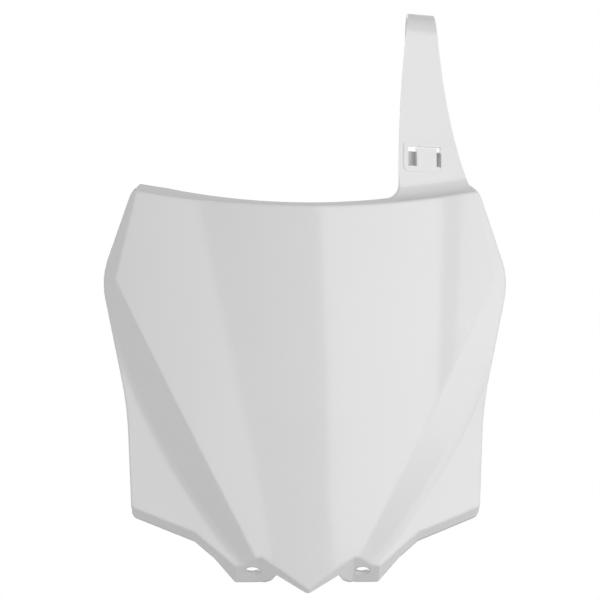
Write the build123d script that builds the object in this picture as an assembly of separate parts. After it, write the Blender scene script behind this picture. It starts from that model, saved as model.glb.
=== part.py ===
from build123d import *
import os
from math import cos, radians, sin, sqrt, tan

# Front number plate of an off-road motorcycle, moulded in one piece with its bar strap and bolt tabs.
# Millimetres. X runs to the viewer's right, Z up and Y backwards. The origin lies midway between the
# two bolt holes, on the outer face of the tabs.

# Wall and mounting
wall = 2.2
tab_thickness = 2.8
bolt_spacing = 64.0
bolt_hole_diameter = 8.5
bolt_setback = 18.0            # bolt line behind the front of the shield
root_setback = 1.0             # roots of tabs and strap behind the front faces, inside the lips
tab_slope = 33.0               # degrees that the underside falls towards the back

# Shield: a convex front face, rounder at the bottom than at the top
shield_radius_foot = 185.0
shield_radius_head = 245.0
shield_bulge_radius = 1500.0
shield_mid_height = 110.0
shield_foot_height = -45.0
shield_head_height = 265.0

# Outline of the plate, half widths and heights above the bolt line
knee_half_width = 122.0
knee_height = 172.6
knee_radius = 45.0
shoulder_half_width = 104.5
shoulder_height = 221.5
waist_half_width = 105.8
waist_height = 96.0
waist_radius = 200.0
corner_half_width = 102.8
corner_height = 31.5
corner_radius = 5.0
shoulder_radius = 5.0
top_corner_half_width = 98.5
top_corner_height = 230.5
top_middle_height = 214.6
prow_drop = 13.0
prow_rise = 0.60               # height gained for each millimetre of half width
prow_radius = 3.5
prow_half_width = 18.0
flank_height = 8.0

# Bolt tabs, drawn in the plane of the tabs with the bolt line at zero
tab_root = 16.0
tab_reach = 12.7
tab_outer_foot = 41.5
tab_inner_foot = 26.0
tab_inner_root = 15.0
tab_inner_rise = 4.5
tab_outer_waist = 59.5
tab_waist_rise = 0.8
tab_outer_root = 68.0
tab_root_rise = 2.0
tab_radius = 6.5
tab_waist_radius = 12.0

# Top lip: one flat face that rises towards the back
top_edge_height = 210.2
top_lip_slope = 27.0
top_lip_depth = 11.0
under_lip_depth = 8.5

# Underside, drawn on the front datum and swept down and back at the tab slope
under_prow_height = -7.2
under_prow_half_width = 27.0
under_tab_half_width = 42.0
under_flank_half_width = 65.5
under_flank_height = 36.3
under_corner_half_width = 101.3
under_corner_height = 57.8

# Wings: a steep band beside each long crease, then a flatter outer panel
crease_foot_half_width = 26.4
crease_knee_inset = 7.6        # crease inside the outline's knee
band_slope = 40.0
panel_slope = 18.0
panel_knee_gap = 1.46          # panel behind the ridge at the outline's knee
panel_blend_radius = 14.0
crease_radius = 3.0
knee_blend_radius = 12.0
bevel_low_inset = 8.7          # bevel line inside the knee and inside the shoulder
bevel_top_inset = 3.0

# Rounded edges of the plate: faces that meet at more than this angle, in degrees
rim_radius = 0.8
sharp_angle = 12.0

# Bar strap
strap_depth = 27.5             # strap face behind the front datum at its middle
strap_middle = 77.0
strap_turn = 19.0              # degrees that the strap faces outwards
strap_thickness = 2.2
strap_sweep_radius = 12.0
strap_top_height = 333.6
strap_curl_radius = 16.0
strap_tail_length = 52.0
strap_tail_taper = 1.5
strap_tail_radius = 4.0
strap_join_height = 256.0
strap_join_overlap = 5.0
strap_left_base = 54.6
strap_base_height = 217.5
strap_left_middle = 55.6
strap_left_top = 61.5
strap_fillet = 10.0
strap_right_foot = 101.0
strap_right_waist = 90.7
strap_right_middle = 85.6
strap_right_top = 77.9
strap_waist_height = 250.6
strap_middle_height = 272.0

# Buckle: a window with a tongue, and a loop band behind it
window_left = 59.65
window_width = 21.7
window_foot = 238.0
window_height = 12.4
tongue_left = 65.55
tongue_width = 12.7
tongue_gap = 0.8
loop_foot = 239.6
loop_height = 8.6
loop_clearance = 3.4
loop_thickness = 2.0
loop_leg = 3.0
loop_radius = 2.5
pad_width = 26.9
pad_height = 17.8
pad_radius = 3.0
pad_rise = 0.4

# Working room for the cutting solids
reach = 12.0
room = 90.0
hinge_spans = 4                # spans of the curve along a hinge line

front = -bolt_setback
foot = shield_foot_height
head = shield_head_height
shield_reach = knee_half_width + reach
under_fall = tan(radians(tab_slope))
tab_level = bolt_setback * under_fall


def shield_radius(height):
    """Plan radius of the shield at a height."""
    share = (height - foot) / (head - foot)
    return shield_radius_foot + share * (shield_radius_head - shield_radius_foot)


def shield_y(half_width, height):
    """Y of the shield's outer face at a point of the front view."""
    radius = shield_radius(height)
    bulge = (height - shield_mid_height) ** 2 / (2 * shield_bulge_radius)
    return front + bulge + radius - sqrt(radius**2 - half_width**2)


def crease_half_width(height):
    """Half width of the long crease at a height, on a line from the foot to the knee."""
    knee = knee_half_width - crease_knee_inset
    return crease_foot_half_width + (knee - crease_foot_half_width) * height / knee_height


def bevel_half_width(height):
    """Half width of the knee bevel's upper edge at a height, on a line from the knee to the shoulder."""
    low = knee_half_width - bevel_low_inset
    top = shoulder_half_width - bevel_top_inset
    return low + (top - low) * (height - knee_height) / (shoulder_height - knee_height)


def ridge_y(half_width):
    """Y of the ridge between band and knee bevel, which starts at the crease's knee."""
    start = knee_half_width - crease_knee_inset
    return shield_y(start, knee_height) + (half_width - start) * tan(radians(band_slope))


def shield_section(height, inset):
    """Plan section of everything behind the shield at a height."""
    radius = shield_radius(height)
    start = shield_y(0, height)
    middle = start + radius
    side = middle - sqrt((radius - inset) ** 2 - shield_reach**2)
    arc = ThreePointArc((-shield_reach, side), (0, start + inset), (shield_reach, side))
    back = Polyline((shield_reach, side), (shield_reach, room), (-shield_reach, room), (-shield_reach, side))
    return Plane.XY.offset(height) * make_face([arc, back])


def shield(inset):
    """Solid behind the shield's outer face, or behind its inner face."""
    heights = (foot, (foot + head) / 2, head)
    return loft([shield_section(height, inset) for height in heights])


def band_cut(low, high, slope, inset):
    """Solid in front of a sloping band that hinges on a line of the shield from low to high."""
    points = []
    for step in range(hinge_spans + 1):
        share = step / hinge_spans
        x = low[0] + share * (high[0] - low[0])
        z = low[1] + share * (high[1] - low[1])
        points.append(Vector(x, shield_y(x, z), z))
    ahead = front - room
    line = Spline(*points)
    frame = Polyline(points[-1], (high[0], ahead, high[1]), (low[0], ahead, low[1]), points[0])
    run = Vector(high[0] - low[0], 0, high[1] - low[1]).normalized()
    out = Vector(run.Z, 0, -run.X)
    back = Vector(0, 1, 0)
    travel = out * cos(radians(slope)) + back * sin(radians(slope))
    inward = back * cos(radians(slope)) - out * sin(radians(slope))
    start = inward * inset - travel * reach
    profile = make_face([line, frame]).moved(Location(start))
    return extrude(profile, amount=room + reach, dir=travel)


def panel_front(inset):
    """Solid in front of the right-hand outer panel."""
    slope = radians(panel_slope)
    x_in = -room
    x_out = shield_reach + reach
    shift = inset / cos(slope)
    y_in = ridge_y(knee_half_width) + panel_knee_gap + (x_in - knee_half_width) * tan(slope) + shift
    y_out = y_in + (x_out - x_in) * tan(slope)
    plan = Polyline((x_in, y_in), (x_out, y_out), (x_out, front - room), (x_in, front - room), close=True)
    return extrude(Plane.XY.offset(foot) * make_face(plan), amount=head - foot)


def wing_cut(inset):
    """What the right-hand wing and its knee bevel take off the shield."""
    crease_low = (crease_half_width(foot), foot)
    crease_high = (crease_half_width(shoulder_height), shoulder_height)
    band = band_cut(crease_low, crease_high, band_slope, inset) & panel_front(inset)
    meeting = band.edges().filter_by(GeomType.BSPLINE).sort_by(Axis.Y)[-1]
    band = fillet(meeting, panel_blend_radius + inset)
    bevel_low = (bevel_half_width(waist_height), waist_height)
    bevel_high = (bevel_half_width(head), head)
    bevel = band_cut(bevel_low, bevel_high, band_slope, inset)
    return [band, bevel]


def edges_at(form, x, y, z):
    """Edges of the form nearest to a point of its right-hand side, and to the same point on the left."""
    return [form.edges().sort_by_distance(Vector(side * x, y, z))[0] for side in (-1, 1)]


def front_form(inset):
    """Everything behind the plate's faceted front, at the outer face or a wall further in."""
    form = shield(inset)
    for cut in wing_cut(inset):
        form = form - cut
        form = form - mirror(cut, about=Plane.YZ)
    ridge_middle = knee_half_width - crease_knee_inset / 2
    ridges = edges_at(form, ridge_middle, ridge_y(ridge_middle) + inset, knee_height)
    form = fillet(ridges, knee_blend_radius)
    low_z = knee_height / 2
    low_x = crease_half_width(low_z)
    high_z = (knee_height + shoulder_height) / 2
    high_x = bevel_half_width(high_z)
    creases = edges_at(form, low_x, shield_y(low_x, low_z) + inset, low_z)
    bevels = edges_at(form, high_x, shield_y(high_x, high_z) + inset, high_z)
    return fillet(creases + bevels, crease_radius - inset)


def below_top(inset):
    """Region under the plane of the top lip."""
    slope = radians(top_lip_slope)
    level = top_edge_height - inset / cos(slope)
    y_near = front - room
    y_far = room + reach
    side = Polyline(
        (y_near, level + (y_near - front) * tan(slope)),
        (y_far, level + (y_far - front) * tan(slope)),
        (y_far, foot - room),
        (y_near, foot - room),
        close=True,
    )
    return extrude(Plane.YZ * make_face(side), amount=shield_reach + reach, both=True)


def under_outline():
    """Lower edge on the front datum, as a face that covers the plate above it."""
    right = [
        (0, under_prow_height),
        (under_prow_half_width, tab_level),
        (under_tab_half_width, tab_level),
        (under_flank_half_width, under_flank_height),
        (under_corner_half_width, under_corner_height),
        (shield_reach + reach, under_corner_height + shield_reach + reach - under_corner_half_width),
        (shield_reach + reach, head + room),
    ]
    left = [(-x, z) for x, z in reversed(right[1:])]
    return make_face(Polyline(*right, *left, close=True))


def above_under(inset):
    """Region over the underside, which sweeps down and back at the tab slope."""
    outline = under_outline()
    start = Vector(0, front - room, room * under_fall + inset / cos(radians(tab_slope)))
    travel = Vector(0, cos(radians(tab_slope)), -sin(radians(tab_slope)))
    profile = (Plane.XZ * outline).moved(Location(start))
    return extrude(profile, amount=3 * room / cos(radians(tab_slope)), dir=travel)


def rounded(face, corners):
    """The face with the corners nearest to the given points rounded."""
    for point, radius in corners:
        corner = face.vertices().sort_by_distance(Vector(*point))[0]
        face = fillet(corner, radius)
    return face


def silhouette():
    """Front view that trims the sides, the shoulders and the prow."""
    right = [
        (top_corner_half_width, top_corner_height),
        (shoulder_half_width, shoulder_height),
        (knee_half_width, knee_height),
        (waist_half_width, waist_height),
        (corner_half_width, corner_height),
    ]
    radii = [shoulder_radius, shoulder_radius, knee_radius, waist_radius, corner_radius]
    prow = (0, -prow_drop)
    lower = [
        (tab_outer_waist, flank_height),
        (tab_outer_foot, -tab_reach),
        (tab_inner_foot, -tab_reach),
        (prow_half_width, -prow_drop + prow_rise * prow_half_width),
    ]
    left = [(-x, z) for x, z in reversed(right + lower)]
    top = ThreePointArc(left[-1], (0, top_middle_height), right[0])
    sides = Polyline(*right, *lower, prow, *left)
    corners = list(zip(right, radii)) + [((-x, z), radius) for (x, z), radius in zip(right, radii)]
    face = rounded(make_face([top, sides]), corners + [(prow, prow_radius)])
    return extrude(Plane.XZ * face, amount=2 * room, both=True)


def sharp_edges(block):
    """Edges in front of the block's flat back where two faces meet at an angle."""
    neighbours = {}
    for face in block.faces():
        for edge in face.edges():
            neighbours.setdefault(edge, []).append(face)
    found = []
    for edge, (first, second) in neighbours.items():
        middle = edge @ 0.5
        turn = first.normal_at(middle).get_angle(second.normal_at(middle))
        if turn > sharp_angle and edge.bounding_box().max.Y < room - reach:
            found.append(edge)
    return found


def outer_block():
    """Everything inside the plate's outer faces, with its edges rounded."""
    block = front_form(0) & above_under(0) & below_top(0) & silhouette()
    return fillet(sharp_edges(block), rim_radius)


def shell(outer):
    """Faceted front wall with its top lip and underside."""
    outer_form = front_form(0)
    inner = front_form(wall) & above_under(tab_thickness) & below_top(wall)
    body = outer - inner
    zones = [(under_lip_depth, foot, shield_mid_height), (top_lip_depth, shield_mid_height, head)]
    for depth, low, high in zones:
        zone = front_box(-shield_reach, 2 * shield_reach, low, high - low, front, room)
        body = body - (outer_form.moved(Location((0, depth, 0))) & zone)
    return body


def tab_plane():
    """Plane of the tabs' outer face, with its Y axis running up and forward."""
    return Plane(
        origin=(0, 0, 0),
        x_dir=(1, 0, 0),
        z_dir=(0, -sin(radians(tab_slope)), -cos(radians(tab_slope))),
    )


def bolt_tab(outer):
    """Right-hand tab, cut from the wall of the underside."""
    waist = (tab_outer_waist, tab_waist_rise)
    outer_foot = (tab_outer_foot, -tab_reach)
    inner_foot = (tab_inner_foot, -tab_reach)
    outline = Polyline(
        (tab_inner_root, tab_root),
        (tab_outer_root, tab_root),
        (tab_outer_root, tab_root_rise),
        waist,
        outer_foot,
        inner_foot,
        (tab_inner_root, tab_inner_rise),
        close=True,
    )
    corners = [(waist, tab_waist_radius), (outer_foot, tab_radius), (inner_foot, tab_radius)]
    zone = tab_plane() * extrude(rounded(make_face(outline), corners), amount=room, both=True)
    behind = front_form(0).moved(Location((0, root_setback, 0)))
    return (outer - above_under(tab_thickness)) & zone & behind


def bolt_hole():
    """Right-hand bolt hole, square to the tab."""
    circle = Pos(bolt_spacing / 2, 0) * Circle(bolt_hole_diameter / 2)
    return tab_plane() * extrude(circle, amount=tab_root, both=True)


def strap_plane_y(x):
    """Y of the strap's front face at an X."""
    return front + strap_depth + (x - strap_middle) * tan(radians(strap_turn))


def strap_sweep(profile, rise):
    """A side profile at the strap's middle, swept along the turned strap."""
    turn = radians(strap_turn)
    along = Vector(cos(turn), sin(turn), rise * sin(turn))
    half = strap_middle
    face = (Plane.YZ.offset(strap_middle) * profile).moved(Location(along * -half))
    return extrude(face, amount=2 * half * along.length, dir=along)


def strap_base():
    """Lower strap, which sweeps forward into the plane of the top lip."""
    slope = radians(top_lip_slope)
    y_face = strap_plane_y(strap_middle)
    level = top_edge_height + (y_face - front) * tan(slope)
    run = Vector(cos(slope), sin(slope))
    start = Vector(y_face, level) - run * (strap_depth / cos(slope) + reach)
    path = FilletPolyline(
        (start.X, start.Y),
        (y_face, level),
        (y_face, strap_join_height + strap_join_overlap),
        radius=strap_sweep_radius,
    )
    return strap_sweep(strip(path, strap_thickness), tan(slope))


def strip(path, thickness):
    """Face between a path and its copy moved to the back and below."""
    inner = offset(path, amount=thickness, side=Side.RIGHT, closed=False)
    ends = [Line(path @ 0, inner @ 0), Line(path @ 1, inner @ 1)]
    return make_face([path, inner, *ends])


def curl_half(y_start, side, low):
    """Half of the curl over the bar with its straight leg, on the front or the back side."""
    centre_height = strap_top_height - strap_curl_radius
    y_centre = y_start + strap_curl_radius
    faces = []
    for radius in (strap_curl_radius, strap_curl_radius - strap_thickness):
        bend = radius * sqrt(0.5)
        y_leg = y_centre + side * radius
        faces.append(
            [
                Line((y_leg, low), (y_leg, centre_height)),
                ThreePointArc(
                    (y_leg, centre_height),
                    (y_centre + side * bend, centre_height + bend),
                    (y_centre, centre_height + radius),
                ),
            ]
        )
    outer, inner = faces
    ends = [Line(outer[0] @ 0, inner[0] @ 0), Line(outer[1] @ 1, inner[1] @ 1)]
    return strap_sweep(make_face([*outer, *inner, *ends]), 0)


def tail_outline():
    """Front view of the strap's tail behind the bar."""
    top = strap_top_height + reach
    low = strap_top_height - strap_curl_radius - strap_tail_length
    left_foot = (strap_left_top + strap_tail_taper, low)
    right_foot = (strap_right_top - strap_tail_taper, low)
    left_top = (strap_left_top, strap_top_height - strap_thickness)
    right_top = (strap_right_top, strap_top_height - strap_thickness)
    lid = [(strap_right_top, top), (strap_left_top, top)]
    face = make_face(Polyline(left_top, left_foot, right_foot, right_top, *lid, close=True))
    face = rounded(face, [(left_foot, strap_tail_radius), (right_foot, strap_tail_radius)])
    return extrude(Plane.XZ * face, amount=2 * room, both=True)


def strap_outline():
    """Front view of the strap."""
    top = strap_top_height + reach
    bottom = top_edge_height - reach
    fillet_top = strap_base_height + strap_fillet
    foot_left = strap_left_base - strap_fillet
    bend = strap_fillet * (1 - sqrt(0.5))
    left = ThreePointArc(
        (strap_left_top, strap_top_height - strap_thickness),
        (strap_left_middle, strap_middle_height),
        (strap_left_base, fillet_top),
    )
    corner = ThreePointArc(
        left @ 1,
        (strap_left_base - bend, strap_base_height + bend),
        (foot_left, strap_base_height),
    )
    right = Spline(
        (strap_right_foot, shoulder_height),
        (strap_right_waist, strap_waist_height),
        (strap_right_middle, strap_middle_height),
        (strap_right_top, strap_top_height - strap_thickness),
    )
    under = Polyline(corner @ 1, (foot_left, bottom), (strap_right_foot, bottom), right @ 0)
    lid = Polyline(right @ 1, (strap_right_top, top), (strap_left_top, top), left @ 0)
    return extrude(Plane.XZ * make_face([left, corner, under, right, lid]), amount=2 * room, both=True)


def front_box(left, width, low, height, y_near, y_far):
    """Block given by its front view and its Y range."""
    size_y = y_far - y_near
    return Pos(left + width / 2, y_near + size_y / 2, low + height / 2) * Box(width, size_y, height)


def strap():
    """Strap with the window and tongue of its buckle."""
    y_face = strap_plane_y(strap_middle)
    tail_low = strap_top_height - strap_curl_radius - strap_tail_length - reach
    base = strap_base() & front_form(0).moved(Location((0, root_setback, 0)))
    band = (base + curl_half(y_face, -1, strap_join_height)) & strap_outline()
    band = band + (curl_half(y_face, 1, tail_low) & tail_outline())
    window = buckle_block(window_left, window_width, window_height)
    tongue = buckle_block(tongue_left, tongue_width, window_height - tongue_gap)
    return band + buckle_pad() - (window - tongue)


def buckle_plane():
    """The strap's own frame at the window: X along the strap, Y backwards from its face, Z up."""
    middle = window_left + window_width / 2
    turn = radians(strap_turn)
    return Plane(origin=(middle, strap_plane_y(middle), 0), x_dir=(cos(turn), sin(turn), 0), z_dir=(0, 0, 1))


def buckle_block(left, width, height):
    """Block through the strap, standing on the window's foot."""
    across = left + width / 2 - window_left - window_width / 2
    depth = strap_thickness + loop_clearance / 2
    block = Box(width, depth + reach, height)
    return buckle_plane() * (Pos(across, (depth - reach) / 2, window_foot + height / 2) * block)


def buckle_pad():
    """Slightly raised pad round the window."""
    face = Pos(0, window_foot + window_height / 2) * RectangleRounded(pad_width, pad_height, pad_radius)
    pad = extrude(Plane.XZ * face, amount=pad_rise + strap_thickness / 2)
    return buckle_plane() * (Pos(0, strap_thickness / 2, 0) * pad)


def buckle_loop():
    """Band behind the window that holds the strap's end against the tongue."""
    start = strap_thickness / 2
    depth = strap_thickness + loop_clearance
    half = window_width / 2
    outer_half = half + loop_leg
    bow = depth + loop_thickness
    corners = [(-outer_half, bow), (outer_half, bow)]
    outer = make_face(Polyline((-outer_half, start), *corners, (outer_half, start), close=True))
    inner = make_face(Polyline((-half, start), (-half, depth), (half, depth), (half, start), close=True))
    band = rounded(outer, [(corner, loop_radius) for corner in corners]) - inner
    return buckle_plane() * (Pos(0, 0, loop_foot) * extrude(band, amount=loop_height))


def build():
    """The whole plate as one solid."""
    outer = outer_block()
    tab = bolt_tab(outer)
    hole = bolt_hole()
    plate = shell(outer) + tab + mirror(tab, about=Plane.YZ) + strap() + buckle_loop()
    return plate - hole - mirror(hole, about=Plane.YZ)


if __name__ == "__main__":
    os.makedirs("parts", exist_ok=True)
    number_plate = build()
    export_step(number_plate, "parts/number_plate.step")
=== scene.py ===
"""Looks of the motorcycle front number plate: glossy white moulding in soft studio light."""

from math import cos, pi, radians, sin, tan

import bpy
from mathutils import Matrix, Vector


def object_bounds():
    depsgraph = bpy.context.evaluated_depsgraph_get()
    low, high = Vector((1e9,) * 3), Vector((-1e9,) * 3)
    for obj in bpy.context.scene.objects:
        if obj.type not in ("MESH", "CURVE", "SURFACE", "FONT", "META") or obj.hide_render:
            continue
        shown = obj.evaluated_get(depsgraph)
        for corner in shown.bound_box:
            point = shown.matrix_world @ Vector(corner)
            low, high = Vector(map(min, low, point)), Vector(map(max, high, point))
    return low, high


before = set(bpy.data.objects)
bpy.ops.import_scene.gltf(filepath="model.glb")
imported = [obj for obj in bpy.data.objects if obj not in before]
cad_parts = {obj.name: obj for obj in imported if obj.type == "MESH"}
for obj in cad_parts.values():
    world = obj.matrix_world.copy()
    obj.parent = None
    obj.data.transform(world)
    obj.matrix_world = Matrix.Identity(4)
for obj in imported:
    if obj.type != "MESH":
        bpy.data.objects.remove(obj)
cad_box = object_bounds()

WHITE = (1.0, 1.0, 1.0, 1.0)

# Camera, a little to the left of the plate and below its middle. The image size and focal length are in
# pixels, the sensor in millimetres, distances and the aim in metres, and angles in degrees.
IMAGE_SIZE = 600
FOCAL_PIXELS = 2115.7
SENSOR_WIDTH = 36.0
CLIP_START = 0.05
CAMERA_DISTANCE = 1.25
CAMERA_YAW = 2.19
CAMERA_RISE = 5.0
CAMERA_ROLL = -0.06
AIM = Vector((-0.0038, 0.0070, 0.1586))

# Light: softboxes at a distance from the plate, each with its bearing to the right of the plate's front,
# elevation, width, height and lean to the left, all in degrees, and its radiance
AMBIENT = 0.3
LIGHT_DISTANCE = 1.6
SOFTBOXES = {
    "key_softbox": (28.4, 7.5, 40.0, 46.0, 6.4, 2.0),
    "fill_softbox": (-39.7, -4.6, 34.0, 52.0, 37.0, 1.4),
    "right_softbox": (75.0, 0.0, 40.0, 50.0, 0.0, 1.45),
    "back_softbox": (-150.0, 8.0, 40.0, 46.0, 0.0, 2.0),
}

# Plastic: the two tints of its cloud, cloud and grain in cycles per metre, the middle range of the grain that
# is spread over the range of roughness, and the orange peel's strength and its depth in metres
PLASTIC_IOR = 1.5
DARK_TINT = (0.72, 0.72, 0.72, 1.0)
LIGHT_TINT = (0.75, 0.75, 0.75, 1.0)
CLOUD_SCALE = 18.0
CLOUD_DETAIL = 3.0
GRAIN_SCALE = 900.0
GRAIN_DETAIL = 2.0
GRAIN_RANGE = (0.3, 0.7)
ROUGHNESS_RANGE = (0.09, 0.13)
PEEL_STRENGTH = 0.012
PEEL_DEPTH = 0.0005

# Edges, metres: how far the shell's edges are softened in shading, and the heights over which that ends
EDGE_SOFTNESS = 0.0022
EDGE_SAMPLES = 8
SHELL_TOP = 0.225
STRAP_START = 0.235

# Floor, metres: it lies below the plate and fades out from a share of its radius
FLOOR_COLOUR = (0.9, 0.9, 0.9, 1.0)
FLOOR_GLOW = 0.25
FLOOR_GAP = 0.15
FLOOR_RADIUS = 1.2
FLOOR_FADE_SHARE = 0.3
FLOOR_SIDES = 96


def new_material(name):
    """A node material with nothing but its output."""
    material = bpy.data.materials.new(name)
    material.use_nodes = True
    tree = material.node_tree
    tree.nodes.clear()
    output = tree.nodes.new("ShaderNodeOutputMaterial")
    return material, tree, output


def noise(tree, scale, detail):
    """Noise in the object's own coordinates."""
    place = tree.nodes.new("ShaderNodeTexCoord")
    node = tree.nodes.new("ShaderNodeTexNoise")
    node.inputs["Scale"].default_value = scale
    node.inputs["Detail"].default_value = detail
    tree.links.new(place.outputs["Object"], node.inputs["Vector"])
    return node.outputs["Fac"]


def map_range(tree, socket, source, target, interpolation="LINEAR"):
    """The socket's value taken from the source range to the target range."""
    node = tree.nodes.new("ShaderNodeMapRange")
    node.interpolation_type = interpolation
    node.inputs["From Min"].default_value = source[0]
    node.inputs["From Max"].default_value = source[1]
    node.inputs["To Min"].default_value = target[0]
    node.inputs["To Max"].default_value = target[1]
    tree.links.new(socket, node.inputs["Value"])
    return node.outputs["Result"]


def soften_edges(tree):
    """Normals rounded over the shell's edges, and left as they are from the strap's start upwards."""
    place = tree.nodes.new("ShaderNodeTexCoord")
    split = tree.nodes.new("ShaderNodeSeparateXYZ")
    tree.links.new(place.outputs["Object"], split.inputs["Vector"])
    radius = map_range(tree, split.outputs["Z"], (SHELL_TOP, STRAP_START), (EDGE_SOFTNESS, 0.0))
    bevel = tree.nodes.new("ShaderNodeBevel")
    bevel.samples = EDGE_SAMPLES
    tree.links.new(radius, bevel.inputs["Radius"])
    return bevel.outputs["Normal"]


def white_plastic():
    """Glossy injection-moulded plastic with a faint cloud in its tint and a fine orange peel."""
    material, tree, output = new_material("white_plastic")
    shader = tree.nodes.new("ShaderNodeBsdfPrincipled")
    shader.inputs["IOR"].default_value = PLASTIC_IOR
    tint = tree.nodes.new("ShaderNodeMix")
    tint.data_type = "RGBA"
    tint.inputs["A"].default_value = DARK_TINT
    tint.inputs["B"].default_value = LIGHT_TINT
    tree.links.new(noise(tree, CLOUD_SCALE, CLOUD_DETAIL), tint.inputs["Factor"])
    tree.links.new(tint.outputs["Result"], shader.inputs["Base Color"])
    grain = noise(tree, GRAIN_SCALE, GRAIN_DETAIL)
    roughness = map_range(tree, grain, GRAIN_RANGE, ROUGHNESS_RANGE)
    tree.links.new(roughness, shader.inputs["Roughness"])
    peel = tree.nodes.new("ShaderNodeBump")
    peel.inputs["Strength"].default_value = PEEL_STRENGTH
    peel.inputs["Distance"].default_value = PEEL_DEPTH
    tree.links.new(grain, peel.inputs["Height"])
    tree.links.new(soften_edges(tree), peel.inputs["Normal"])
    tree.links.new(peel.outputs["Normal"], shader.inputs["Normal"])
    tree.links.new(shader.outputs["BSDF"], output.inputs["Surface"])
    return material


def dress(node, material):
    """Gives a CAD node its material."""
    node.data.materials.clear()
    node.data.materials.append(material)


def place_camera():
    """Camera at the photograph's viewing angle."""
    yaw = radians(CAMERA_YAW)
    rise = radians(CAMERA_RISE)
    roll = radians(CAMERA_ROLL)
    ahead = Vector((sin(yaw) * cos(rise), cos(yaw) * cos(rise), sin(rise)))
    level = Vector((cos(yaw), -sin(yaw), 0.0))
    upright = level.cross(ahead)
    right = level * cos(roll) + upright * sin(roll)
    up = upright * cos(roll) - level * sin(roll)
    turn = Matrix((right, up, -ahead)).transposed().to_4x4()
    data = bpy.data.cameras.new("camera")
    data.sensor_width = SENSOR_WIDTH
    data.lens = FOCAL_PIXELS / IMAGE_SIZE * SENSOR_WIDTH
    data.clip_start = CLIP_START
    camera = bpy.data.objects.new("camera", data)
    camera.matrix_world = Matrix.Translation(AIM - ahead * CAMERA_DISTANCE) @ turn
    bpy.context.scene.collection.objects.link(camera)
    bpy.context.scene.camera = camera


def softbox(name, bearing, elevation, width, height, lean, radiance):
    """Rectangular softbox that faces the plate."""
    data = bpy.data.lights.new(name, "AREA")
    data.shape = "RECTANGLE"
    data.size = 2 * LIGHT_DISTANCE * tan(radians(width / 2))
    data.size_y = 2 * LIGHT_DISTANCE * tan(radians(height / 2))
    data.energy = radiance * data.size * data.size_y * pi
    side = radians(bearing)
    rise = radians(elevation)
    out = Vector((sin(side) * cos(rise), -cos(side) * cos(rise), sin(rise)))
    turn = out.to_track_quat("Z", "Y").to_matrix().to_4x4() @ Matrix.Rotation(radians(lean), 4, "Z")
    lamp = bpy.data.objects.new(name, data)
    lamp.matrix_world = Matrix.Translation(AIM + out * LIGHT_DISTANCE) @ turn
    bpy.context.scene.collection.objects.link(lamp)


def seen_rays(tree):
    """One for rays of the camera and for reflected and refracted ones, and nought for light on surfaces."""
    path = tree.nodes.new("ShaderNodeLightPath")
    seen = path.outputs["Is Camera Ray"]
    for ray in ("Is Glossy Ray", "Is Transmission Ray"):
        either = tree.nodes.new("ShaderNodeMath")
        either.operation = "MAXIMUM"
        tree.links.new(seen, either.inputs[0])
        tree.links.new(path.outputs[ray], either.inputs[1])
        seen = either.outputs["Value"]
    return seen


def light_world():
    """White surroundings for the camera and for reflections, and a plain level of light on surfaces."""
    world = bpy.data.worlds.new("studio")
    bpy.context.scene.world = world
    world.use_nodes = True
    tree = world.node_tree
    tree.nodes.clear()
    output = tree.nodes.new("ShaderNodeOutputWorld")
    ambient = tree.nodes.new("ShaderNodeBackground")
    ambient.inputs["Strength"].default_value = AMBIENT
    ambient.inputs["Color"].default_value = WHITE
    backdrop = tree.nodes.new("ShaderNodeBackground")
    backdrop.inputs["Color"].default_value = WHITE
    choose = tree.nodes.new("ShaderNodeMixShader")
    tree.links.new(seen_rays(tree), choose.inputs["Fac"])
    tree.links.new(ambient.outputs["Background"], choose.inputs[1])
    tree.links.new(backdrop.outputs["Background"], choose.inputs[2])
    tree.links.new(choose.outputs["Shader"], output.inputs["Surface"])


def pale_floor():
    """Matt pale paint, a little lighter where it is seen, that fades out towards the floor's rim."""
    material, tree, output = new_material("pale_floor")
    paint = tree.nodes.new("ShaderNodeBsdfDiffuse")
    paint.inputs["Color"].default_value = FLOOR_COLOUR
    strength = tree.nodes.new("ShaderNodeMath")
    strength.operation = "MULTIPLY"
    strength.inputs[1].default_value = FLOOR_GLOW
    tree.links.new(seen_rays(tree), strength.inputs[0])
    glow = tree.nodes.new("ShaderNodeEmission")
    tree.links.new(strength.outputs["Value"], glow.inputs["Strength"])
    both = tree.nodes.new("ShaderNodeAddShader")
    tree.links.new(paint.outputs["BSDF"], both.inputs[0])
    tree.links.new(glow.outputs["Emission"], both.inputs[1])
    place = tree.nodes.new("ShaderNodeTexCoord")
    length = tree.nodes.new("ShaderNodeVectorMath")
    length.operation = "LENGTH"
    tree.links.new(place.outputs["Object"], length.inputs[0])
    rim = (FLOOR_FADE_SHARE * FLOOR_RADIUS, FLOOR_RADIUS)
    fade = map_range(tree, length.outputs["Value"], rim, (0.0, 1.0), "SMOOTHSTEP")
    clear = tree.nodes.new("ShaderNodeBsdfTransparent")
    mix = tree.nodes.new("ShaderNodeMixShader")
    tree.links.new(fade, mix.inputs["Fac"])
    tree.links.new(both.outputs["Shader"], mix.inputs[1])
    tree.links.new(clear.outputs["BSDF"], mix.inputs[2])
    tree.links.new(mix.outputs["Shader"], output.inputs["Surface"])
    return material


def lay_floor():
    """Round floor under the plate."""
    bpy.ops.mesh.primitive_circle_add(vertices=FLOOR_SIDES, radius=FLOOR_RADIUS, fill_type="NGON")
    floor = bpy.context.object
    floor.name = "floor"
    floor.location.z = cad_box[0][2] - FLOOR_GAP
    floor.data.materials.append(pale_floor())


dress(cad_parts["number_plate"], white_plastic())
place_camera()
for name, values in SOFTBOXES.items():
    softbox(name, *values)
light_world()
lay_floor()
bpy.context.scene.view_settings.view_transform = "Standard"
